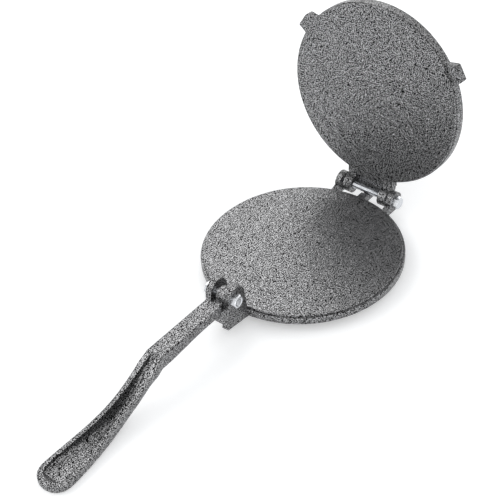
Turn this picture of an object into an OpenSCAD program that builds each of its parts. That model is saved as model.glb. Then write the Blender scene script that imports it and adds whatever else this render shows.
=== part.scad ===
// Hand press with two round cast plates, a rear hinge and a swinging lever.
// Origin: on the table, under the middle of the base plate.
// +X is to the right, -Y is the lever end, +Y is the hinge end, +Z is up.
// The press is drawn open: the top plate leans back on its stop and the lever lies forward.

/* [Base plate] */
// Radius of the flat pressing face of the base
face_r = 82.5; // [76:0.5:100]
// Height of the pressing face above the table
face_h = 15; // [14:0.5:22]
// How far the outer rim stands out past the pressing face
rim_step = 2; // [1:0.25:4]
// Drop from the pressing face to the ledge of the rim
ledge_drop = 2; // [1:0.25:3]
// Height of the outer rim, from the pressing face down
rim_h = 8; // [7:0.25:10]
// Thickness of the cast plate behind the pressing face
plate_t = 5; // [4:0.25:6]
// Width of the rim wall seen from below
rim_wall = 5; // [3.5:0.25:8]
// How far the standing ring keeps inside the rim
foot_inset = 18.5; // [10:0.5:30]
// Width of the standing ring
foot_ring_w = 5; // [4:0.25:10]
// Width of the cross ribs under the base
base_rib_w = 5; // [3:0.25:8]

/* [Top plate] */
// How far the top plate's face keeps inside the base's face
lid_inset = 3.1; // [0.5:0.1:6]
// How far the top plate's rim stands out past its face
lid_step = 0.7; // [0.5:0.1:2]
// Height of the top plate's rim
lid_rim_h = 10.4; // [9:0.2:13]
// Gap between the two faces when the press is shut
shut_gap = 0.4; // [0.3:0.1:3]
// Number of radial ribs on the back
lid_ribs = 8; // [4:2:12]
// Width of the radial ribs
lid_rib_w = 4; // [3:0.25:6]
// Radius of the round boss in the middle of the back
hub_r = 17; // [12:0.5:24]
// Width of the ridge that the lever bears on
ridge_w = 13; // [8:0.5:18]
// Distance from the pivot to the near end of the ridge
ridge_start = 36; // [32:1:50]
// Length of the ridge
ridge_len = 46; // [20:1:60]
// Direction of the lifting lugs, forward from the side
lug_angle = 30.5; // [15:0.5:45]
// How far the lifting lugs stand out past the top plate's rim
lug_out = 8.4; // [6:0.2:16]
// Width of a lifting lug at its outer end
lug_w = 15; // [10:0.5:22]
// Thickness of a lifting lug
lug_t = 7; // [5:0.25:8.5]

/* [Rear hinge] */
// Distance from the base's rim out to the hinge axis
hinge_out = 8.8; // [8.5:0.1:14]
// Radius of the base's hinge ears
hinge_ear_r = 8.6; // [7:0.2:10]
// Thickness of each base ear
hinge_ear_w = 5; // [4:0.25:12]
// Radius of the eyes on the top plate's arms
arm_eye_r = 7.5; // [6.5:0.25:8.5]
// Thickness of each arm
arm_w = 7.4; // [5:0.2:11]
// Clear width between the two arms
arm_gap = 28.4; // [20:0.4:36]
// Side clearance between an arm and its ear
side_gap = 2.1; // [0.5:0.1:2.5]
// How far the top plate stands open, from shut
open_angle = 95.5; // [80:0.5:96]
// Width of the stop tongue that runs under the middle of the hinge bolt
tongue_w = 7; // [4:0.5:12]

/* [Clevis and lever pivot] */
// Distance from the base's rim out to the lever's pivot
pivot_out = 16; // [14:0.5:24]
// Height of the pivot above the pressing face
pivot_rise = 22.3; // [20:0.1:26]
// Radius of the clevis ears
clevis_ear_r = 9.75; // [9:0.25:12]
// Thickness of each clevis ear
clevis_ear_w = 5.4; // [4.4:0.2:9]
// Clear width between the clevis ears
clevis_gap = 12; // [10:0.25:15]
// Distance from the pivot to the front of the clevis foot
clevis_foot = 11; // [10.5:0.25:13]
// How far the web between the ears stands back from the front of the foot
web_back = 4; // [3:0.5:6]
// Radius of the lever's barrel
barrel_r = 7.2; // [6.4:0.2:8]
// Width of the lever's barrel
barrel_w = 7.2; // [6:0.2:9]
// Gap between the barrel and the right ear, against which it has slid
barrel_gap = 0.5; // [0.3:0.1:1.5]

/* [Lever] */
// Width of the straight bar
bar_w = 15.4; // [12:0.2:18]
// Thickness of the straight bar
bar_t = 10; // [8:0.25:11]
// Distance from the pivot to the bend
bar_len = 81; // [60:1:110]
// Distance from the pivot to the end of the handle
lever_len = 204; // [160:1:206]
// Width of the handle near its end
grip_w = 30; // [20:0.2:34]
// Height of the grip's rim above the table near its end
grip_rim_h = 6; // [5:0.2:9]
// Width of the rim around the hollow of the grip
grip_wall = 4; // [3:0.1:6]
// Thickness left under the hollow
hollow_floor = 2.2; // [1.8:0.1:4]
// How far the lever swings over from its rest on the table
lever_swing = 174; // [165:1:176]

/* [Fasteners] */
// Diameter of the bolts
bolt_d = 6; // [5:0.5:8]
// Width of the hexagon across its flats
hex_af = 10; // [8:0.5:13]
// Thickness of a bolt head
head_t = 4.6; // [3:0.1:6]
// Thickness of the nut
nut_t = 4; // [3:0.25:6]
// How far the pivot bolt shows past its nut
bolt_past_nut = 1; // [0:0.5:4]
// Radial clearance of a bolt in its hole
bolt_fit = 0.08; // [0.03:0.01:0.1]

/* [Edges] */
// Rounding of the cast edges
edge_r = 0.9; // [0.5:0.1:1.2]

/* [Hidden] */
$fn = 96;

// Small sizes shared by the castings: how far joined shapes run into each other, how far a
// cutter runs past what it cuts, the corner taken off a square edge, and how far a block
// keeps under the ledge that it joins
lap = 0.5;
through = 1;
chamfer = 1;
sink = 0.2;

// Heights and radii that follow from the driving sizes
rim_r = face_r + rim_step;
lid_face_r = face_r - lid_inset;
rim_bottom = face_h - rim_h;
ledge_z = face_h - ledge_drop;
lid_rim_r = lid_face_r + lid_step;
lid_face_z = face_h + shut_gap;
lid_back_z = lid_face_z + lid_rim_h;
foot_ring_r = rim_r - foot_inset;
bore_d = bolt_d + 2 * bolt_fit;
wall_draft = 1;
plate_root = 4;

// Hinge: the axis is level with the face of the shut top plate
hinge_y = rim_r + hinge_out;
hinge_z = lid_face_z;
arm_in = arm_gap / 2;
arm_out = arm_in + arm_w;
ear_in = arm_out + side_gap;
ear_out = ear_in + hinge_ear_w;
ear_root = 14;
ear_neck = 2;
neck_half = arm_out + 1;
neck_end = 9;
// Web between the arms: open, its edge comes down on the tongue of the base
stop_clear = 0.3;
web_over_bolt = 1.3;
web_edge_t = 3.6;
tongue_top = hinge_z - bolt_d / 2 - stop_clear;
tongue_low = tongue_top - 4;
step_drop = 0.6;
tongue_end = hinge_y + bolt_d / 2 + web_over_bolt + web_edge_t;

// Clevis
pivot_y = rim_r + pivot_out;
pivot_z = face_h + pivot_rise;
clevis_in = clevis_gap / 2;
clevis_out = clevis_in + clevis_ear_w;
clevis_front = pivot_y + clevis_foot;
ear_back = 2.1;
ear_up = 0.5;
ear_mid_y = -pivot_y + ear_back;
ear_mid_z = pivot_z + ear_up;
barrel_clear = 3;
slot_floor = pivot_z - barrel_r - barrel_clear;
block_bottom = rim_bottom + 1.6;
block_rise = 4;
ear_heel = 2.6;
block_root = 8;
clevis_lean = 1.3;
foot_rise = 4;
heel_rise = 3;
slot_back = 5;
rim_flat = 1.5;

// Lever, in its own frame: the pivot is at the origin and the lever runs along -Y
bar_top = 0.1;
shoulder_clear = 0.35;
shoulder = clevis_ear_r + norm([ear_back, ear_up]) + shoulder_clear;
neck_inset = 0.9;
neck_bend = 4;
grip_drop = pivot_z - grip_rim_h;
grip_round = 16;
// Past the bend: how fast the rim drops, and the share of the drop that follows the curve
drop_power = 3.6;
drop_share = 0.72;
// Widening past the bend, and where the grip swells, as shares of the handle
flare = 1.3;
flare_over = 10;
swell_start = 0.27;
swell_span = 0.69;
end_square = 2.4;
// The bar deepens towards the bend
heel = 3.2;
heel_from = 30;
heel_over = 46;
heel_end = 12;
// From this share of the handle on, its underside lies on the table
rest_from = 0.85;
table_clear = 0.02;
station_step = 3;
side_points = 9;
corner_r = 1.1;
// How square the section is: a large value is nearer a rectangle
square_bar = 7;
square_waist = 2.3;
square_grip = 8;
square_before = 4;
square_over = 22;
// Hollow: how square its floor is, its wall at the bend, and how it deepens and ends
hollow_square = 0.75;
hollow_over = 38;
wall_start = 5.2;
dip_start = 0.55;
dip_in = 5;
dip_out = 6;
// End of the grip: how thin its tip is, and how far back it thins
end_thin = 0.9;
end_bevel = 0.7;
end_tip = 0.12;

// Fasteners: the hinge bolt stops a little inside the left ear
end_inset = 0.5;
hex_turned = 1.1;

// Ridge on the top plate: its top lies along the lever when both are shut
ridge_slope = 180 - lever_swing;
ridge_clear = 0.3;
ridge_toe = 9;
ridge_tail = 18;

// Back of the top plate: the ribs, the hub and the neck keep a little under the rim
back_z = lid_face_z + plate_t - lap;
rib_drop = 1.2;
neck_drop = 0.3;
hub_root = 2;
neck_root = 24;
neck_rise = 0.3;
arm_root = 15;
arm_bend = 6;
arm_belly = 1.6;
lug_drop = 0.6;
lug_flare = 1.5;
lug_round = 3;
lug_nose = 1.2;

// Smooth step from 0 to 1 as t runs from 0 to 1
function ease(t) = let (u = min(1, max(0, t))) u * u * (3 - 2 * u);
function mix(a, b, t) = a + (b - a) * t;

// Points of an arc about (cx, cy)
function arc(cx, cy, r, a0, a1, n = 6) =
    [for (i = [0:n]) let (a = a0 + (a1 - a0) * i / n) [cx + r * cos(a), cy + r * sin(a)]];

// Extrudes an outline drawn in Y and Z along X, between x0 and x1
module side_slab(x0, x1) {
    translate([x0, 0, 0])
        rotate([90, 0, 90])
            linear_extrude(height = x1 - x0)
                children();
}

// A cylinder along X, between x0 and x1
module x_rod(x0, x1, r, y, z) {
    translate([x0, y, z])
        rotate([0, 90, 0])
            cylinder(r = r, h = x1 - x0);
}

// The same thing on the left and on the right
module both_sides() {
    children();
    mirror([1, 0, 0])
        children();
}

// ---- Base plate ----

// Half section of the base disc: face, ledge, rim, and the hollow underside
module base_section() {
    e = edge_r;
    polygon(concat(
        [[0, face_h - plate_t], [0, face_h]],
        arc(face_r - e, face_h - e, e, 90, 0),
        [[face_r, ledge_z]],
        arc(rim_r - e, ledge_z - e, e, 90, 0),
        arc(rim_r - e, rim_bottom + e, e, 0, -90),
        [[rim_r - rim_wall, rim_bottom],
         [rim_r - rim_wall - wall_draft, face_h - plate_t]]));
}

// Ring and crossed ribs that stand on the table
module base_foot() {
    foot_top = face_h - plate_t + lap;
    difference() {
        cylinder(r = foot_ring_r, h = foot_top);
        translate([0, 0, -through])
            cylinder(r = foot_ring_r - foot_ring_w, h = foot_top + 2 * through);
    }
    for (turn = [0, 90])
        rotate([0, 0, turn])
            translate([-foot_ring_r + foot_ring_w / 2, -base_rib_w / 2, 0])
                cube([2 * foot_ring_r - foot_ring_w, base_rib_w, foot_top]);
}

// One hinge ear with the block that ties it to the disc
module hinge_ear() {
    side_slab(ear_in, ear_out)
        union() {
            translate([hinge_y, hinge_z])
                circle(r = hinge_ear_r);
            polygon([[face_r - ear_root, rim_bottom + lap], [hinge_y, hinge_z - hinge_ear_r],
                     [hinge_y, hinge_z + ear_neck], [face_r - plate_root, ledge_z - sink],
                     [face_r - ear_root, ledge_z - sink]]);
        }
}

// Tongue under the hinge bolt: the open top plate comes to rest on its flat end
module stop_tongue() {
    step_y = hinge_y - bolt_d / 2 - stop_clear;
    side_slab(-tongue_w / 2, tongue_w / 2)
        polygon([[face_r - plate_root, rim_bottom + chamfer], [rim_r, rim_bottom + lap],
                 [step_y, tongue_low], [tongue_end - chamfer, tongue_low],
                 [tongue_end, tongue_low + chamfer], [tongue_end, tongue_top],
                 [step_y, tongue_top], [step_y, face_h - step_drop - chamfer],
                 [step_y - chamfer, face_h - step_drop],
                 [face_r - plate_root, face_h - step_drop]]);
}

// Side outline of the clevis ears: round at the top, running back to the rim
module clevis_outline() {
    translate([ear_mid_y, ear_mid_z])
        circle(r = clevis_ear_r);
    polygon([[ear_mid_y - clevis_ear_r, ear_mid_z],
             [-clevis_front + clevis_lean, face_h + foot_rise],
             [-clevis_front, block_bottom + block_rise + chamfer],
             [-clevis_front + chamfer, block_bottom + block_rise],
             [-rim_r + block_root, block_bottom], [-rim_r + block_root, ledge_z - sink],
             [-rim_r, ledge_z - sink],
             [ear_mid_y + clevis_ear_r + ear_heel, ledge_z + heel_rise],
             [ear_mid_y + clevis_ear_r, ear_mid_z]]);
}

// The space between the clevis ears, above and in front of the web
module clevis_slot() {
    side_slab(-clevis_in, clevis_in)
        polygon([[-clevis_front - through, block_bottom - through],
                 [-clevis_front + web_back, block_bottom - through],
                 [-clevis_front + web_back, slot_floor - chamfer],
                 [-clevis_front + web_back + chamfer, slot_floor],
                 [-pivot_y + slot_back, slot_floor], [-rim_r - rim_flat, ledge_z - sink],
                 [-rim_r - rim_flat, ear_mid_z + clevis_ear_r + through],
                 [-clevis_front - through, ear_mid_z + clevis_ear_r + through]]);
}

module base_plate() {
    color("#8f9092")
        difference() {
            union() {
                rotate_extrude()
                    base_section();
                base_foot();
                both_sides()
                    hinge_ear();
                stop_tongue();
                difference() {
                    side_slab(-clevis_out, clevis_out)
                        clevis_outline();
                    clevis_slot();
                }
            }
            x_rod(-ear_out - through, ear_out + through, bore_d / 2, hinge_y, hinge_z);
            x_rod(-clevis_out - through, clevis_out + through, bore_d / 2, -pivot_y, pivot_z);
        }
}

// ---- Top plate, drawn shut and then turned open about the hinge ----

module lid_section() {
    e = edge_r;
    polygon(concat(
        [[0, lid_face_z + plate_t], [0, lid_face_z]],
        arc(lid_face_r - e, lid_face_z + e, e, -90, 0),
        [[lid_face_r, lid_face_z + ledge_drop]],
        arc(lid_rim_r - e / 2, lid_face_z + ledge_drop + e / 2, e / 2, -90, 0),
        arc(lid_rim_r - e, lid_back_z - e, e, 0, 90),
        [[lid_rim_r - rim_wall, lid_back_z],
         [lid_rim_r - rim_wall - wall_draft, lid_face_z + plate_t]]));
}

// Ribs that run from the hub to the rim
module lid_rib_set() {
    rib_start = hub_r - hub_root;
    rib_len = lid_rim_r - rim_wall / 2 - rib_start;
    for (i = [0:lid_ribs - 1])
        rotate([0, 0, 90 + 360 * i / lid_ribs])
            translate([rib_start, -lid_rib_w / 2, back_z])
                cube([rib_len, lid_rib_w, lid_back_z - rib_drop - back_z]);
}

// Ridge under the shut lever: its sloping top is parallel to the bar
module ridge() {
    near_y = -pivot_y + ridge_start;
    far_y = near_y + ridge_len;
    function top(s) = pivot_z - bar_top - ridge_clear + s * sin(ridge_slope);
    side_slab(-ridge_w / 2, ridge_w / 2)
        polygon([[near_y - ridge_toe, back_z], [near_y - ridge_toe, lid_back_z],
                 [near_y, top(ridge_start)], [far_y, top(ridge_start + ridge_len)],
                 [far_y + ridge_tail, lid_back_z], [far_y + ridge_tail, back_z]]);
}

// Lifting lug on the rim, with rounded outer corners
module lifting_lug() {
    root = lid_rim_r - rim_wall / 2;
    tip = lid_rim_r + lug_out;
    side = lug_w / 2;
    rotate([0, 0, -lug_angle])
        translate([0, 0, lid_back_z - lug_drop - lug_t])
            linear_extrude(height = lug_t)
                polygon(concat(
                    [[root, -side - 2 * lug_flare], [lid_rim_r + chamfer, -side - lug_flare]],
                    arc(tip - lug_round, -side + lug_round, lug_round, -90, -15),
                    arc(tip - lug_nose, side - lug_nose, lug_nose, 5, 80),
                    [[lid_rim_r + chamfer, side + lug_flare / 2], [root, side + lug_flare]]));
}

// Edge of the web, where it lies level with the bottom of the bolt once the plate is open
function web_edge_y(z) =
    hinge_y + (bolt_d / 2 + (z - hinge_z) * cos(open_angle)) / sin(open_angle);

// Neck and arms: the arms end in eyes round the hinge bolt
module lid_arms() {
    neck_z = lid_face_z + ledge_drop + neck_rise;
    neck_top = lid_back_z - neck_drop;
    web_z = hinge_z + bolt_d / 2 + web_over_bolt;
    difference() {
        side_slab(-neck_half, neck_half)
            polygon([[hinge_y - neck_root, neck_z], [hinge_y - neck_end - chamfer, neck_z],
                     [hinge_y - neck_end, neck_z + chamfer], [hinge_y - neck_end, neck_top],
                     [hinge_y - neck_root, neck_top]]);
        // hollow of the back, so that the neck keeps to the rim
        translate([0, 0, lid_face_z + plate_t])
            cylinder(r = lid_rim_r - rim_wall - lap, h = lid_rim_h);
    }
    // web from arm to arm, passing over the bolt; its edge is level when the plate is open
    side_slab(-arm_in - lap, arm_in + lap)
        polygon([[hinge_y - neck_end - lap, web_z], [web_edge_y(web_z), web_z],
                 [web_edge_y(web_z + web_edge_t), web_z + web_edge_t],
                 [hinge_y - neck_end + 2 * chamfer, neck_top],
                 [hinge_y - neck_end - lap, neck_top]]);
    both_sides()
        side_slab(arm_in, arm_out)
            union() {
                translate([hinge_y, hinge_z])
                    circle(r = arm_eye_r);
                polygon([[hinge_y - arm_root, neck_z], [hinge_y - arm_bend, neck_z - arm_belly],
                         [hinge_y, hinge_z], [hinge_y, hinge_z + arm_eye_r],
                         [hinge_y - arm_bend, neck_top], [hinge_y - arm_root, neck_top]]);
            }
}

module top_plate_shut() {
    difference() {
        union() {
            rotate_extrude()
                lid_section();
            lid_rib_set();
            translate([0, 0, back_z])
                cylinder(r = hub_r, h = lid_back_z - neck_drop - back_z);
            ridge();
            both_sides()
                lifting_lug();
            lid_arms();
        }
        x_rod(-arm_out - through, arm_out + through, bore_d / 2, hinge_y, hinge_z);
    }
}

module top_plate() {
    color("#77787a")
        translate([0, hinge_y, hinge_z])
            rotate([-open_angle, 0, 0])
                translate([0, -hinge_y, -hinge_z])
                    top_plate_shut();
}

// ---- Lever ----

// Distance s runs from the pivot to the end of the handle, and t from the bend to the end.
// The rim line: level along the bar, steep past the bend, then flatter to the end.
function along_grip(s) = (s - bar_len) / (lever_len - bar_len);
function rim_z(s) =
    let (t = min(1, along_grip(s)))
    t <= 0 ? bar_top
    : bar_top - (grip_drop + bar_top) * mix(t, 1 - pow(1 - t, drop_power), drop_share);
function swell(s) = ease((along_grip(s) - swell_start) / swell_span);
function full_half(s) = mix(mix(bar_w / 2, bar_w / 2 + flare, ease((s - bar_len + 1) / flare_over)),
                            grip_w / 2, swell(s));
// The end of the grip is rounded off in plan
function end_round(s, r) =
    let (u = max(0, (s - (lever_len - r)) / r)) pow(max(0, 1 - pow(u, end_square)), 1 / end_square);
function half_w(s) = full_half(s) * max(end_tip, end_round(s, grip_round));
// Thickness: it grows towards the bend, and past it the underside comes down to the table
function thick(s) =
    let (room = rim_z(s) + pivot_z - table_clear)
    min(room, mix(bar_t, room, ease(along_grip(s) / rest_from))
        + heel * ease((s - heel_from) / heel_over) * (1 - ease((s - bar_len) / heel_end)));
function depth(s) = thick(s) * mix(end_thin, 1, end_round(s, grip_round * end_bevel));
// Squareness of the section: 2 is an ellipse, a large value a rectangle
function squareness(s) =
    mix(mix(square_bar, square_waist, ease((s - bar_len + square_before) / square_over)),
        square_grip, swell(s));
// The hollow starts as a point at the bend and follows the rim round the end
function hollow_end(s) = end_round(s + grip_wall, grip_round - grip_wall / 2);
function hollow_half(s) =
    max(0.5, (full_half(s) - mix(wall_start, grip_wall, ease((s - bar_len) / hollow_over))) * hollow_end(s));
function hollow_dip(s) = (depth(s) - hollow_floor) * ease((s - bar_len + 1) / dip_in)
                         * mix(dip_start, 1, ease((s - bar_len) / hollow_over))
                         * ease((lever_len - grip_wall - s) / dip_out);

// One closed section of the lever, across X, at distance s
function lever_section(s) =
    let (w = half_w(s), d = depth(s), n = squareness(s), zt = rim_z(s),
         c = min(corner_r, w * 0.4), hw = min(hollow_half(s), w - c - 0.2), hd = hollow_dip(s))
    concat(
        [[w - c, zt], [w - 0.3 * c, zt - 0.3 * c]],
        [for (i = [0:2 * side_points])
            let (a = 180 * i / (2 * side_points), ca = cos(a), sa = sin(a))
            [w * sign(ca) * pow(abs(ca), 2 / n), zt - c - (d - c) * pow(abs(sa), 2 / n)]],
        [[-w + 0.3 * c, zt - 0.3 * c], [-w + c, zt]],
        [for (i = [0:side_points])
            let (a = 180 - 180 * i / side_points, ca = cos(a), sa = sin(a))
            [hw * sign(ca) * pow(abs(ca), hollow_square), zt - hd * pow(abs(sa), hollow_square)]]);

// Distances of the sections: even along the lever, closer round the end
stations = concat(
    [for (s = [shoulder:station_step:bar_len - 4]) s],
    [for (s = [bar_len - 2:station_step / 2:bar_len + 40]) s],
    [for (s = [bar_len + 42:station_step:lever_len - grip_round]) s],
    [for (a = [12:12:84]) lever_len - grip_round + grip_round * sin(a)],
    [lever_len - 0.02]);

// Solid through a list of sections, each with the same number of points.
// Each end is closed by a fan of triangles round a point inside the section.
module loft(rings, along, mid_z) {
    n = len(rings[0]);
    m = len(rings);
    points = concat([for (i = [0:m - 1]) for (p = rings[i]) [p[0], -along[i], p[1]]],
                    [[0, -along[0], mid_z[0]], [0, -along[m - 1], mid_z[1]]]);
    sides = [for (i = [0:m - 2]) for (j = [0:n - 1]) for (t = [0, 1])
        let (k = (j + 1) % n)
        t == 0 ? [i * n + j, i * n + k, (i + 1) * n + j]
               : [i * n + k, (i + 1) * n + k, (i + 1) * n + j]];
    ends = [for (j = [0:n - 1]) for (t = [0, 1])
        let (k = (j + 1) % n)
        t == 0 ? [k, j, m * n] : [(m - 1) * n + j, (m - 1) * n + k, m * n + 1]];
    polyhedron(points = points, faces = concat(sides, ends), convexity = 6);
}

module lever_handle() {
    neck_low = bar_top - bar_t + neck_inset;
    neck_high = bar_top - neck_inset + 0.3;
    barrel_x1 = clevis_in - barrel_gap;
    barrel_x0 = barrel_x1 - barrel_w;
    color("#9fa0a2")
        translate([0, -pivot_y, pivot_z])
            difference() {
                union() {
                    x_rod(barrel_x0, barrel_x1, barrel_r, 0, 0);
                    side_slab(barrel_x0, barrel_x1)
                        polygon([[-shoulder - 2 * lap, neck_low], [-neck_bend, neck_low],
                                 [0, -barrel_r + chamfer], [0, 0], [-neck_bend, neck_high],
                                 [-shoulder - 2 * lap, neck_high]]);
                    loft([for (s = stations) lever_section(s)], stations,
                         [for (s = [shoulder, lever_len]) rim_z(s) - depth(s) / 2]);
                }
                x_rod(barrel_x0 - through, barrel_x1 + through, bore_d / 2, 0, 0);
            }
}

// ---- Fasteners ----

// Hexagon along X from x0 to x1, with its outer corners turned off at the x1 end
module hexagon(x0, x1) {
    t = x1 - x0;
    corner = hex_af / 2 / cos(30);
    translate([x0, 0, 0])
        rotate([0, 90, 0])
            intersection() {
                cylinder(r = corner, h = t, $fn = 6);
                rotate_extrude()
                    polygon([[0, 0], [corner + through, 0], [corner + through, t - hex_turned],
                             [hex_af / 2 - sink, t], [0, t]]);
            }
}

module hinge_bolt() {
    color("#d8d9db")
        translate([0, hinge_y, hinge_z]) {
            x_rod(-ear_out + end_inset, ear_out + lap, bolt_d / 2, 0, 0);
            hexagon(ear_out, ear_out + head_t);
        }
}

module pivot_bolt() {
    color("#d8d9db")
        translate([0, -pivot_y, pivot_z]) {
            x_rod(-clevis_out - nut_t - bolt_past_nut, clevis_out + lap, bolt_d / 2, 0, 0);
            hexagon(clevis_out, clevis_out + head_t);
        }
}

module pivot_nut() {
    color("#d8d9db")
        translate([0, -pivot_y, pivot_z])
            difference() {
                mirror([1, 0, 0])
                    hexagon(clevis_out, clevis_out + nut_t);
                x_rod(-clevis_out - nut_t - through, -clevis_out + through, bore_d / 2, 0, 0);
            }
}

base_plate();
top_plate();
lever_handle();
hinge_bolt();
pivot_bolt();
pivot_nut();
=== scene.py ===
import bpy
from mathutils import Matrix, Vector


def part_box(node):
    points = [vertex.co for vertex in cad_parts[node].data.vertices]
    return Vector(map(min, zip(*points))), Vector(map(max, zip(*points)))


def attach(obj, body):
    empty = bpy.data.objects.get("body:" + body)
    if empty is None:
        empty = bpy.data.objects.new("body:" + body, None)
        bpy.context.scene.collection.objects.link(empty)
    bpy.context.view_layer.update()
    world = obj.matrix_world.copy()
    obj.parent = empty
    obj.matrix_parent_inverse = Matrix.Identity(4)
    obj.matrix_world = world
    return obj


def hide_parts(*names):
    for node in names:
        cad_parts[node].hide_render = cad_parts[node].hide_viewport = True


bl_info = {
    "name": "Cast hand press",
    "version": (1, 0, 0),
    "blender": (4, 5, 0),
    "location": "3D View > Sidebar > Press",
    "description": "Finishes and fasteners of a cast hand press with two round plates and a lever",
    "category": "Object",
}

import math

import bmesh
import bpy
from bpy.props import FloatProperty, FloatVectorProperty, PointerProperty
from mathutils import Matrix, Vector

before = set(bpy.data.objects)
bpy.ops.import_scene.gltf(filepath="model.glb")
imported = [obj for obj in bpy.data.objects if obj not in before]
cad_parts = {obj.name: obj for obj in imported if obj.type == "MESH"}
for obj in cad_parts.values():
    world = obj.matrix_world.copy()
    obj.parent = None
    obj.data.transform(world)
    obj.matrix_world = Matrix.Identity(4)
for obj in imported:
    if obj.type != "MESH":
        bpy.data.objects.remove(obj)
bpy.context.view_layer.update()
MM = 0.001

# Hammertone enamel: lengths are shares of the grain size. Real spots lie 1 to 2 mm apart; these
# are 1.8 mm apart, at the coarse end, so that each one still shows.
PIT_SPACING = 1.3        # length of the crossing waves whose troughs are the pits
PULL_SCALE = 0.6         # how fast the noise that bends the waves changes
PULL_REACH = 2.0         # how far it moves them
PIT_FLOOR, PIT_RIM = -0.40, 0.15     # heights of the waves where a pit is deepest and where it ends
FLAKE_SCALE = 2.0        # cells of flake in one grain
FLAKE_TINT = (0.70, 1.30)            # darkest and lightest cell
PIT_DEPTH = 0.10
PIT_ROUGHER = 0.14       # the bottom of a pit is this much less glossy
FLAKE_METAL = 0.88       # aluminium flake under a thin clear skin of resin
WAVE_STRENGTH, WAVE_HEIGHT = 0.35, 0.03   # the height is a share of the wave size

# Bright zinc plate
MARK_LENGTH, MARK_WIDTH = 10 / 3 * MM, 0.4 * MM     # draw marks of the wire, along the bolt
MARK_STRENGTH, MARK_DEPTH = 0.15, 0.05 * MM
ZINC_ROUGHNESS = (0.16, 0.28)

# Fasteners, drawn as rings of (x, radius) about the X axis
TURNS = 48
ANGLES = [2 * math.pi * k / TURNS for k in range(TURNS)]
SHANK_R = 2.97 * MM
NUT_BORE_R = 3.06 * MM
HEAD_HEIGHT = 4.6 * MM
CHAMFER_SHARE = 0.95     # the chamfer starts at this share of half the width across the flats
SOFT_EDGE = 0.18 * MM    # roll of a cold-headed corner
FACET_ANGLE = math.radians(32)
MERGE_DISTANCE = 0.004 * MM

# Stage
FLOOR_HALF = 8.0
FLOOR_DROP = 0.2 * MM    # keeps the floor off the plane that the castings stand on
FLOOR_GLOW = 0.33        # what the camera and reflections see on top of the matt table
ROOM_LIGHT = 0.8
LAMPS = (                # name, place, aim, size, watts
    ("Key soft box", (-1.2, 0.9, 1.3), (0, -0.05, 0.02), (1.8, 1.1), 8.5),
    ("Left soft box", (-1.25, -1.0, 1.7), (0, -0.2, 0.02), (1.2, 1.0), 6.5),
    ("Front soft box", (0.7, -1.6, 0.35), (0, -0.1, 0.02), (1.1, 0.6), 4),
    ("Right soft box", (1.1, -0.6, 1.1), (0, 0, 0.05), (0.8, 0.8), 2),
)


# ---- Small tools ----

def linear(hex_colour):
    """sRGB hex colour, such as #8f9092, as linear red, green and blue."""
    channels = [int(hex_colour[i:i + 2], 16) / 255 for i in (1, 3, 5)]
    return [c / 12.92 if c <= 0.04045 else ((c + 0.055) / 1.055) ** 2.4 for c in channels]


def add_node(tree, kind, settings=None, inputs=None):
    """Adds a node, sets its attributes, and sets or links its inputs."""
    made = tree.nodes.new(kind)
    for name, value in (settings or {}).items():
        setattr(made, name, value)
    for name, value in (inputs or {}).items():
        if isinstance(value, bpy.types.NodeSocket):
            tree.links.new(value, made.inputs[name])
        else:
            made.inputs[name].default_value = value
    return made


def new_material(name):
    """An empty node material and its tree."""
    material = bpy.data.materials.new(name)
    material.use_nodes = True
    material.node_tree.nodes.clear()
    return material, material.node_tree


def new_piece(name, verts, faces, body, material):
    """A smooth mesh piece in the row frame, riding on its body."""
    mesh = bpy.data.meshes.new(name)
    mesh.from_pydata(verts, [], faces)
    mesh.validate()
    shape = bmesh.new()
    shape.from_mesh(mesh)
    bmesh.ops.recalc_face_normals(shape, faces=shape.faces)
    shape.to_mesh(mesh)
    shape.free()
    for face in mesh.polygons:
        face.use_smooth = True
    piece = bpy.data.objects.new(name, mesh)
    bpy.context.scene.collection.objects.link(piece)
    piece.data.materials.append(material)
    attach(piece, body)
    return piece


# ---- Finishes ----

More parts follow.
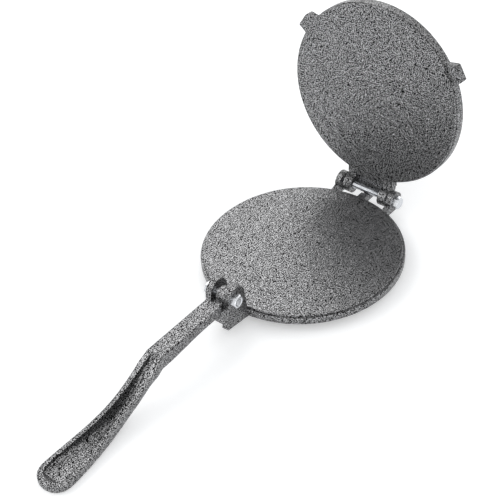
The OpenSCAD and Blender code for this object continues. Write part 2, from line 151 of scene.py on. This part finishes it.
def hammertone_enamel(name, settings):
    """Silver-grey hammertone enamel, sprayed on rough cast iron and stoved.

    Silicone in the paint makes it draw back from small near-black pits. Between them lies
    aluminium flake, each cell at its own slight angle and of its own tint. The eye sees a fine,
    even speckle over a half-gloss sheen that softly mirrors the other castings.
    """
    material, tree = new_material(name)
    grain = settings.grain_size
    place = add_node(tree, "ShaderNodeTexCoord").outputs["Object"]
    # where the paint draws back: an even field of crossing waves, pulled out of line by a noise
    pull = add_node(tree, "ShaderNodeTexNoise", {"noise_dimensions": "3D"},
                    {"Vector": place, "Scale": PULL_SCALE / grain, "Detail": 0.0})
    drift = add_node(tree, "ShaderNodeVectorMath", {"operation": "MULTIPLY_ADD"},
                     {0: pull.outputs["Color"], 1: (grain * PULL_REACH,) * 3, 2: place})
    phase = add_node(tree, "ShaderNodeVectorMath", {"operation": "SCALE"},
                     {0: drift.outputs[0], "Scale": math.tau / (PIT_SPACING * grain)})
    turned = add_node(tree, "ShaderNodeVectorRotate", {"rotation_type": "AXIS_ANGLE"},
                      {"Vector": phase.outputs[0], "Axis": (1, 1, 1),
                       "Angle": math.radians(120)})
    rise = add_node(tree, "ShaderNodeVectorMath", {"operation": "SINE"}, {0: phase.outputs[0]})
    fall = add_node(tree, "ShaderNodeVectorMath", {"operation": "COSINE"},
                    {0: turned.outputs[0]})
    field = add_node(tree, "ShaderNodeVectorMath", {"operation": "DOT_PRODUCT"},
                     {0: rise.outputs[0], 1: fall.outputs[0]})
    # 0 at the bottom of a pit, 1 on the flake
    height = add_node(tree, "ShaderNodeMapRange", {"interpolation_type": "SMOOTHSTEP"},
                      {"Value": field.outputs["Value"], "From Min": PIT_FLOOR,
                       "From Max": PIT_RIM})
    flake = add_node(tree, "ShaderNodeTexVoronoi", {"feature": "F1"},
                     {"Vector": place, "Scale": FLAKE_SCALE / grain})
    tint = add_node(tree, "ShaderNodeMapRange", None,
                    {"Value": flake.outputs["Color"], "From Min": 0.1, "From Max": 0.9,
                     "To Min": FLAKE_TINT[0], "To Max": FLAKE_TINT[1]})
    shaded = add_node(tree, "ShaderNodeVectorMath", {"operation": "SCALE"},
                      {0: settings.flake_colour, "Scale": tint.outputs["Result"]})
    colour = add_node(tree, "ShaderNodeMix", {"data_type": "RGBA"},
                      {"Factor": height.outputs["Result"], "A": (*settings.pit_colour, 1),
                       "B": shaded.outputs[0]})
    # slow waves of the casting under the paint
    wave = add_node(tree, "ShaderNodeTexNoise", {"noise_dimensions": "3D"},
                    {"Vector": place, "Scale": 1 / settings.wave_size, "Detail": 1.5})
    wave_bump = add_node(tree, "ShaderNodeBump", None,
                         {"Height": wave.outputs["Fac"], "Strength": WAVE_STRENGTH,
                          "Distance": settings.wave_size * WAVE_HEIGHT})
    bump = add_node(tree, "ShaderNodeBump", None,
                    {"Height": height.outputs["Result"], "Strength": settings.relief,
                     "Distance": grain * PIT_DEPTH, "Normal": wave_bump.outputs["Normal"]})
    # each cell of flake leans its own way
    lean = add_node(tree, "ShaderNodeVectorMath", {"operation": "MULTIPLY_ADD"},
                    {0: flake.outputs["Color"], 1: (settings.flake_lean,) * 3,
                     2: (-settings.flake_lean / 2,) * 3})
    tilted = add_node(tree, "ShaderNodeVectorMath", {"operation": "ADD"},
                      {0: bump.outputs["Normal"], 1: lean.outputs[0]})
    normal = add_node(tree, "ShaderNodeVectorMath", {"operation": "NORMALIZE"},
                      {0: tilted.outputs[0]})
    gloss = add_node(tree, "ShaderNodeMapRange", None,
                     {"Value": height.outputs["Result"],
                      "To Min": settings.roughness + PIT_ROUGHER, "To Max": settings.roughness})
    shader = add_node(tree, "ShaderNodeBsdfPrincipled", None,
                      {"Base Color": colour.outputs["Result"], "Metallic": FLAKE_METAL,
                       "Roughness": gloss.outputs["Result"], "Normal": normal.outputs[0]})
    add_node(tree, "ShaderNodeOutputMaterial", None, {"Surface": shader.outputs["BSDF"]})
    return material


def bright_zinc(name, settings):
    """Bright zinc plate on cold-headed steel: a clean, slightly streaked mirror, blue-white."""
    material, tree = new_material(name)
    place = add_node(tree, "ShaderNodeTexCoord").outputs["Object"]
    # fine draw marks, stretched along the bolt
    stretch = add_node(tree, "ShaderNodeMapping", {"vector_type": "POINT"},
                       {"Vector": place,
                        "Scale": (1 / MARK_LENGTH, 1 / MARK_WIDTH, 1 / MARK_WIDTH)})
    marks = add_node(tree, "ShaderNodeTexNoise", {"noise_dimensions": "3D"},
                     {"Vector": stretch.outputs["Vector"], "Scale": 1.0, "Detail": 3.0})
    gloss = add_node(tree, "ShaderNodeMapRange", None,
                     {"Value": marks.outputs["Fac"], "From Min": 0.35, "From Max": 0.65,
                      "To Min": ZINC_ROUGHNESS[0], "To Max": ZINC_ROUGHNESS[1]})
    streak = add_node(tree, "ShaderNodeMapRange", None,
                      {"Value": marks.outputs["Fac"], "From Min": 0.3, "From Max": 0.6})
    colour = add_node(tree, "ShaderNodeMix", {"data_type": "RGBA"},
                      {"Factor": streak.outputs["Result"], "A": (*settings.zinc_shade, 1),
                       "B": (*settings.zinc_colour, 1)})
    bump = add_node(tree, "ShaderNodeBump", None,
                    {"Height": marks.outputs["Fac"], "Strength": MARK_STRENGTH,
                     "Distance": MARK_DEPTH})
    shader = add_node(tree, "ShaderNodeBsdfPrincipled", None,
                      {"Base Color": colour.outputs["Result"], "Metallic": 1.0,
                       "Roughness": gloss.outputs["Result"], "Normal": bump.outputs["Normal"]})
    add_node(tree, "ShaderNodeOutputMaterial", None, {"Surface": shader.outputs["BSDF"]})
    return material


def finish(name, maker, *args):
    """A finish by name, made once."""
    return bpy.data.materials.get(name) or maker(name, *args)


# ---- Settings ----

class PressFinish(bpy.types.PropertyGroup):
    """Colours and texture of the enamel and the plating."""
    flake_colour: FloatVectorProperty(name="Flake colour", default=linear("#9a9a9b"),
                                      subtype="COLOR",
                                      description="Aluminium flake of the hammertone enamel")
    pit_colour: FloatVectorProperty(name="Pit colour", default=linear("#060607"),
                                    subtype="COLOR", description="Pits between the flake")
    grain_size: FloatProperty(name="Grain size", default=1.4 * MM, unit="LENGTH",
                              description="Size of one grain of the hammertone enamel")
    wave_size: FloatProperty(name="Wave size", default=16 * MM, unit="LENGTH",
                             description="Length of the slow waves of the cast surface")
    relief: FloatProperty(name="Relief", default=0.5, subtype="FACTOR",
                          description="Strength of the pits' relief")
    flake_lean: FloatProperty(name="Flake lean", default=0.25, subtype="FACTOR",
                              description="How far a cell of flake leans from the surface")
    roughness: FloatProperty(name="Roughness", default=0.26, subtype="FACTOR",
                             description="Roughness of the enamel on the flake")
    zinc_colour: FloatVectorProperty(name="Zinc colour", default=linear("#dfe1e4"),
                                     subtype="COLOR", description="Bright zinc plate")
    zinc_shade: FloatVectorProperty(name="Zinc shade", default=linear("#b9bcc1"),
                                    subtype="COLOR",
                                    description="Darker streaks of the zinc plate")


class PressSizes(bpy.types.PropertyGroup):
    """Sizes of the fasteners and of the cast edges."""
    pitch: FloatProperty(name="Thread pitch", default=1.0 * MM, unit="LENGTH",
                         description="Pitch of the bolt thread")
    thread_depth: FloatProperty(name="Thread depth", default=0.54 * MM, unit="LENGTH",
                                description="Depth of the bolt thread")
    across_flats: FloatProperty(name="Across flats", default=10.0 * MM, unit="LENGTH",
                                description="Width of the hexagon across its flats")
    edge_round: FloatProperty(name="Edge rounding", default=0.7 * MM, unit="LENGTH",
                              description="Rounding of the cast edges under the paint")


class PressStage(bpy.types.PropertyGroup):
    """Camera, floor and lights."""
    azimuth: FloatProperty(name="Azimuth", default=math.radians(41.54), unit="ROTATION",
                           description="Direction of the camera, round from the lever end")
    elevation: FloatProperty(name="Elevation", default=math.radians(39.91), unit="ROTATION",
                             description="Height of the camera above the horizon")
    roll: FloatProperty(name="Roll", default=math.radians(-4.40), unit="ROTATION",
                        description="Turn of the camera about its own axis")
    distance: FloatProperty(name="Distance", default=1.2, unit="LENGTH",
                            description="Distance from the camera to the point it looks at")
    target: FloatVectorProperty(name="Target", default=(-0.03393, -0.02703, 0.015),
                                subtype="TRANSLATION",
                                description="Point that the camera looks at")
    lens: FloatProperty(name="Lens", default=104.6, description="Focal length in millimetres")
    floor_colour: FloatVectorProperty(name="Floor colour", default=linear("#f2f2f2"),
                                      subtype="COLOR", description="Pale table top")


# ---- Castings ----

def cast_edges(piece, settings):
    """Rounds the sharp edges of a casting, as sand and paint leave them."""
    soft = piece.modifiers.new("Cast edges", "BEVEL")
    soft.width = settings.edge_round
    soft.segments = 3
    soft.limit_method = "ANGLE"
    soft.angle_limit = math.radians(38)
    soft.use_clamp_overlap = True
    soft.harden_normals = True


def paint_casting(node_name, material):
    """Gives a cast node its enamel."""
    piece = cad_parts[node_name]
    piece.data.materials.clear()
    piece.data.materials.append(material)
    return piece


class PRESS_OT_base_plate(bpy.types.Operator):
    """Paint the base casting"""
    bl_idname = "press.base_plate"
    bl_label = "Base plate"

    def execute(self, context):
        scene = context.scene
        enamel = finish("Hammertone enamel, base", hammertone_enamel, scene.press_finish)
        cast_edges(paint_casting("base_plate", enamel), scene.press_sizes)
        return {"FINISHED"}


class PRESS_OT_top_plate(bpy.types.Operator):
    """Paint the top casting"""
    bl_idname = "press.top_plate"
    bl_label = "Top plate"

    def execute(self, context):
        scene = context.scene
        enamel = finish("Hammertone enamel, lid", hammertone_enamel, scene.press_finish)
        cast_edges(paint_casting("top_plate", enamel), scene.press_sizes)
        return {"FINISHED"}


class PRESS_OT_lever(bpy.types.Operator):
    """Paint the lever casting"""
    bl_idname = "press.lever"
    bl_label = "Lever"

    def execute(self, context):
        scene = context.scene
        enamel = finish("Hammertone enamel, lever", hammertone_enamel, scene.press_finish)
        paint_casting("lever_handle", enamel)
        return {"FINISHED"}


# ---- Fasteners ----

def hexagon(half_width):
    """Radius of a hexagon at each of ANGLES, half_width being half its width across the flats."""
    return [half_width / math.cos((a + math.pi / 6) % (math.pi / 3) - math.pi / 6)
            for a in ANGLES]


def turned_mesh(rings, closed=False):
    """Vertices and quads of the rings; closed joins the last ring to the first."""
    count = len(rings)
    verts = [(x, r * math.sin(a), r * math.cos(a))
             for ring in rings for (x, r), a in zip(ring, ANGLES)]
    faces = [(i * TURNS + k, i * TURNS + (k + 1) % TURNS,
              (i + 1) % count * TURNS + (k + 1) % TURNS, (i + 1) % count * TURNS + k)
             for i in range(count if closed else count - 1) for k in range(TURNS)]
    return verts, faces


def shank_rings(settings, x_tip, x_seat, thread_to):
    """Rings of the shank, with a cut thread from its tip that runs out at thread_to."""
    run_out, lead_in, tip_chamfer, tip_r = 1.5 * MM, 0.8 * MM, 0.5 * MM, 2.2 * MM
    steps_per_turn = 8

    def radius(x, a):
        fade = min(1, max(0, (thread_to - x) / run_out)) * min(1, max(0, (x - x_tip) / lead_in))
        turn = ((x / settings.pitch) - a / (2 * math.pi)) % 1
        groove = 1 - abs(2 * turn - 1)
        chamfer = min(0, (x - x_tip) - tip_chamfer)
        return min(SHANK_R - settings.thread_depth * groove * fade, SHANK_R + chamfer)

    count = int((x_seat - x_tip) / (settings.pitch / steps_per_turn))
    rings = [[(x_tip, 0)] * TURNS, [(x_tip, tip_r)] * TURNS]
    for i in range(count + 1):
        x = x_tip + (x_seat - x_tip) * i / count
        rings.append([(x, radius(x, a)) for a in ANGLES])
    return rings


def head_rings(settings, x_seat):
    """Rings of the hexagon head: a turned underside, six flats, a chamfer and a shallow dish."""
    flat = settings.across_flats / 2
    chamfer_r = flat * CHAMFER_SHARE
    dish_r, dish_wall, dish_depth = 2.9 * MM, 0.9 * MM, 0.35 * MM
    under, soft = 0.02 * MM, SOFT_EDGE
    edges = hexagon(flat)

    def crown(r):
        """Height of the head's end face at radius r."""
        dish = 0
        if r < dish_r + dish_wall:
            dish = dish_depth * (1 - min(1, max(0, (r - dish_r) / dish_wall)) ** 0.5)
        return HEAD_HEIGHT - dish - max(0, r - chamfer_r) * math.tan(math.radians(30))

    def washer(r):
        """The underside is turned off at the corners too."""
        return max(0, r - flat) * math.tan(math.radians(20))

    rings = [[(x_seat + under, flat * 0.96) for r in edges],
             [(x_seat + under + washer(r), r - soft) for r in edges],
             [(x_seat + soft + washer(r), r) for r in edges],
             [(x_seat + crown(r) - soft, r) for r in edges],
             [(x_seat + crown(r - soft), r - soft) for r in edges]]
    for r in (chamfer_r, 4.2 * MM, 3.8 * MM, 3.5 * MM, 3.2 * MM, dish_r, 1.5 * MM, 0):
        rings.append([(x_seat + crown(r), min(r, edge - 2 * soft)) for edge in edges])
    return rings


def merge_points(piece):
    """Joins the points that the closed ends brought together."""
    shape = bmesh.new()
    shape.from_mesh(piece.data)
    bmesh.ops.remove_doubles(shape, verts=shape.verts, dist=MERGE_DISTANCE)
    bmesh.ops.recalc_face_normals(shape, faces=shape.faces)
    shape.to_mesh(piece.data)
    shape.free()


def place_fastener(node, rings, material, closed):
    """Puts a detailed fastener in the place of its CAD node."""
    low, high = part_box(node)
    middle = (low + high) / 2
    verts, faces = turned_mesh(rings, closed)
    verts = [(x, y + middle.y, z + middle.z) for x, y, z in verts]
    piece = new_piece(node + "_detail", verts, faces, "base", material)
    if not closed:
        merge_points(piece)
    piece.modifiers.new("Facets", "EDGE_SPLIT").split_angle = FACET_ANGLE
    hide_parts(node)


def place_bolt(node, context, thread_to):
    """A bolt whose thread runs from its tip to x = thread_to."""
    scene = context.scene
    low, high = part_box(node)
    rings = (shank_rings(scene.press_sizes, low.x, high.x - HEAD_HEIGHT, thread_to)
             + head_rings(scene.press_sizes, high.x - HEAD_HEIGHT))
    zinc = finish("Bright zinc plate", bright_zinc, scene.press_finish)
    place_fastener(node, rings, zinc, closed=False)


class PRESS_OT_hinge_bolt(bpy.types.Operator):
    """Make the hinge bolt with its thread"""
    bl_idname = "press.hinge_bolt"
    bl_label = "Hinge bolt"

    def execute(self, context):
        place_bolt("hinge_bolt", context, 16 * MM)
        return {"FINISHED"}


class PRESS_OT_pivot_bolt(bpy.types.Operator):
    """Make the lever's pivot bolt"""
    bl_idname = "press.pivot_bolt"
    bl_label = "Pivot bolt"

    def execute(self, context):
        place_bolt("pivot_bolt", context, -6 * MM)
        return {"FINISHED"}


class PRESS_OT_pivot_nut(bpy.types.Operator):
    """Make the nut of the pivot bolt"""
    bl_idname = "press.pivot_nut"
    bl_label = "Pivot nut"

    def execute(self, context):
        scene = context.scene
        low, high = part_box("pivot_nut")
        flat = scene.press_sizes.across_flats / 2
        chamfer_r = flat * CHAMFER_SHARE
        drop = math.tan(math.radians(30))
        countersink = 0.5 * MM
        edges = hexagon(flat)
        rings = []
        for side, sign in ((low.x, 1), (high.x, -1)):
            half = [[(side + sign * countersink, NUT_BORE_R) for r in edges],
                    [(side, NUT_BORE_R + countersink) for r in edges],
                    [(side, chamfer_r) for r in edges],
                    [(side + sign * (r - SOFT_EDGE - chamfer_r) * drop, r - SOFT_EDGE)
                     for r in edges],
                    [(side + sign * ((r - chamfer_r) * drop + SOFT_EDGE), r) for r in edges]]
            rings += half if sign == 1 else half[::-1]
        zinc = finish("Bright zinc plate", bright_zinc, scene.press_finish)
        place_fastener("pivot_nut", rings, zinc, closed=True)
        return {"FINISHED"}


# ---- Stage ----

def seen_rays(tree):
    """1 for the camera's rays and those that are mirrored or refracted, 0 for the rest."""
    light = add_node(tree, "ShaderNodeLightPath")
    seen = add_node(tree, "ShaderNodeMath", {"operation": "MAXIMUM"},
                    {0: light.outputs["Is Camera Ray"], 1: light.outputs["Is Glossy Ray"]})
    return add_node(tree, "ShaderNodeMath", {"operation": "MAXIMUM"},
                    {0: seen.outputs[0], 1: light.outputs["Is Transmission Ray"]}).outputs[0]


def pale_table(name, settings):
    """Matt white laminate. It keeps the object's soft shadow and reads as white round it."""
    material, tree = new_material(name)
    matt = add_node(tree, "ShaderNodeBsdfDiffuse", None, {"Color": (*settings.floor_colour, 1)})
    glow = add_node(tree, "ShaderNodeEmission", None,
                    {"Color": (1, 1, 1, 1), "Strength": FLOOR_GLOW})
    both = add_node(tree, "ShaderNodeAddShader", None, {0: matt.outputs[0], 1: glow.outputs[0]})
    shader = add_node(tree, "ShaderNodeMixShader", None,
                      {0: seen_rays(tree), 1: matt.outputs[0], 2: both.outputs[0]})
    add_node(tree, "ShaderNodeOutputMaterial", None, {"Surface": shader.outputs[0]})
    return material


def pale_room():
    """An even pale room, white where the camera looks past the table."""
    world = bpy.data.worlds.new("Room")
    world.use_nodes = True
    tree = world.node_tree
    tree.nodes.clear()
    room = add_node(tree, "ShaderNodeBackground", None,
                    {"Color": (*linear("#f4f6f8"), 1), "Strength": ROOM_LIGHT})
    white = add_node(tree, "ShaderNodeBackground", None,
                     {"Color": (1, 1, 1, 1), "Strength": 1.0})
    mixed = add_node(tree, "ShaderNodeMixShader", None,
                     {0: seen_rays(tree), 1: room.outputs[0], 2: white.outputs[0]})
    add_node(tree, "ShaderNodeOutputWorld", None, {"Surface": mixed.outputs[0]})
    return world


def soft_lamp(name, place, aim, size, watts):
    """A rectangular soft box that points at aim."""
    lamp = bpy.data.lights.new(name, "AREA")
    lamp.shape = "RECTANGLE"
    lamp.size, lamp.size_y = size
    lamp.energy = watts
    holder = bpy.data.objects.new(name, lamp)
    holder.location = place
    holder.rotation_euler = (Vector(aim) - Vector(place)).to_track_quat("-Z", "Y").to_euler()
    bpy.context.scene.collection.objects.link(holder)


class PRESS_OT_stage(bpy.types.Operator):
    """Make the floor, the lights and the camera"""
    bl_idname = "press.stage"
    bl_label = "Stage"

    def execute(self, context):
        scene = context.scene
        settings = scene.press_stage
        # camera
        a, e, roll = settings.azimuth, settings.elevation, settings.roll
        back = Vector((math.sin(a) * math.cos(e), -math.cos(a) * math.cos(e), math.sin(e)))
        right = (-back).cross(Vector((0, 0, 1))).normalized()
        up = right.cross(-back)
        right, up = (right * math.cos(roll) + up * math.sin(roll),
                     up * math.cos(roll) - right * math.sin(roll))
        turn = Matrix((right, up, back)).transposed().to_4x4()
        lens = bpy.data.cameras.new("Camera")
        lens.lens = settings.lens
        lens.sensor_width = 36
        lens.clip_start, lens.clip_end = 0.01, 50
        camera = bpy.data.objects.new("Camera", lens)
        stand = Vector(settings.target) + back * settings.distance
        camera.matrix_world = Matrix.Translation(stand) @ turn
        scene.collection.objects.link(camera)
        scene.camera = camera
        # floor
        h = FLOOR_HALF
        mesh = bpy.data.meshes.new("Floor")
        mesh.from_pydata([(-h, -h, 0), (h, -h, 0), (h, h, 0), (-h, h, 0)], [], [(0, 1, 2, 3)])
        floor = bpy.data.objects.new("Floor", mesh)
        floor.location.z = -FLOOR_DROP
        floor.data.materials.append(finish("Pale table", pale_table, settings))
        scene.collection.objects.link(floor)
        scene.world = pale_room()
        for lamp in LAMPS:
            soft_lamp(*lamp)
        scene.view_settings.view_transform = "Standard"
        return {"FINISHED"}


# ---- Panel and registration ----

STEPS = ("base_plate", "top_plate", "lever", "hinge_bolt", "pivot_bolt", "pivot_nut", "stage")


class PRESS_PT_panel(bpy.types.Panel):
    """The press's settings and its steps"""
    bl_label = "Cast hand press"
    bl_idname = "PRESS_PT_panel"
    bl_space_type = "VIEW_3D"
    bl_region_type = "UI"
    bl_category = "Press"

    def draw(self, context):
        scene = context.scene
        for group in (scene.press_finish, scene.press_sizes, scene.press_stage):
            box = self.layout.box()
            for name in group.__annotations__:
                box.prop(group, name)
        for step in STEPS:
            self.layout.operator("press." + step)


CLASSES = (PressFinish, PressSizes, PressStage, PRESS_OT_base_plate, PRESS_OT_top_plate,
           PRESS_OT_lever, PRESS_OT_hinge_bolt, PRESS_OT_pivot_bolt, PRESS_OT_pivot_nut,
           PRESS_OT_stage, PRESS_PT_panel)


def register():
    for cls in CLASSES:
        bpy.utils.register_class(cls)
    bpy.types.Scene.press_finish = PointerProperty(type=PressFinish)
    bpy.types.Scene.press_sizes = PointerProperty(type=PressSizes)
    bpy.types.Scene.press_stage = PointerProperty(type=PressStage)


def unregister():
    del bpy.types.Scene.press_stage
    del bpy.types.Scene.press_sizes
    del bpy.types.Scene.press_finish
    for cls in reversed(CLASSES):
        bpy.utils.unregister_class(cls)


def main():
    register()
    for step in STEPS:
        getattr(bpy.ops.press, step)()


if __name__ == "__main__":
    main()
